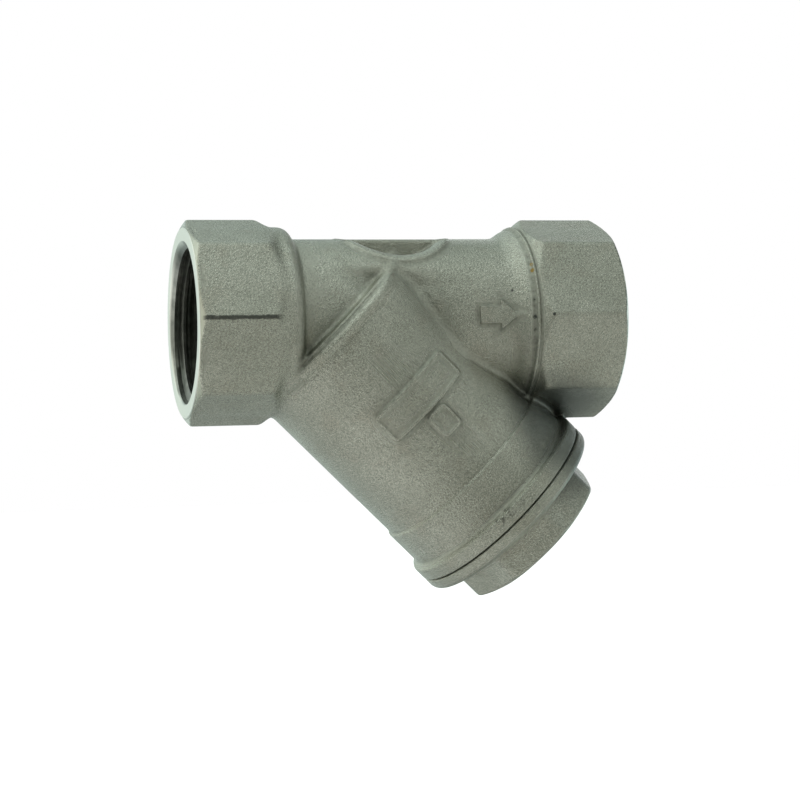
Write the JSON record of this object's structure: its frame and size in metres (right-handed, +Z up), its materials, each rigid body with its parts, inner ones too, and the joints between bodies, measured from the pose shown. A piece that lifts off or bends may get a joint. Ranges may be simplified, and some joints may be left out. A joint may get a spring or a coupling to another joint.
{
  "type": "y strainer",
  "caption": "Threaded Y strainer for pipework: cast steel body with octagonal ends, angled branch holding a perforated screen, and a screwed cap with a flat gasket.",
  "frame": {"origin": "centre of the inlet face, on the flow axis", "axes": "+X along the flow from inlet to outlet, +Z up, the branch hangs down towards the outlet at 45 degrees in the XZ plane"},
  "size_m": [0.09, 0.0452, 0.0802],
  "materials": {
    "cast_body": "blasted investment casting, satin",
    "screen_sheet": "rolled sheet, semi-bright",
    "ptfe": "matte",
    "cast_cap": "blasted investment casting, satin"
  },
  "bodies": {
    "body": {"strainer_body": "cast_body"},
    "screen": {"screen": "screen_sheet"},
    "gasket": {"cap_gasket": "ptfe"},
    "cap": {"cap": "cast_cap"}
  },
  "joints": [
    {"name": "screen_withdraw", "type": "slide", "parent": "body", "child": "screen", "axis": [0.7071, 0, -0.7071], "range_m": [0, 0.06]},
    {"name": "cap_travel", "type": "slide", "parent": "screen", "child": "gasket", "axis": [0.7071, 0, -0.7071], "range_m": [0, 0.01]},
    {"name": "cap_turn", "type": "hinge", "parent": "gasket", "child": "cap", "pos_m": [0.02815, 0, 0], "axis": [0.7071, 0, -0.7071], "range_deg": [0, 1800]}
  ],
  "couplings": [
    {"joint": "cap_travel", "follows": "cap_turn", "m_per_rad": 0.0003183}
  ]
}
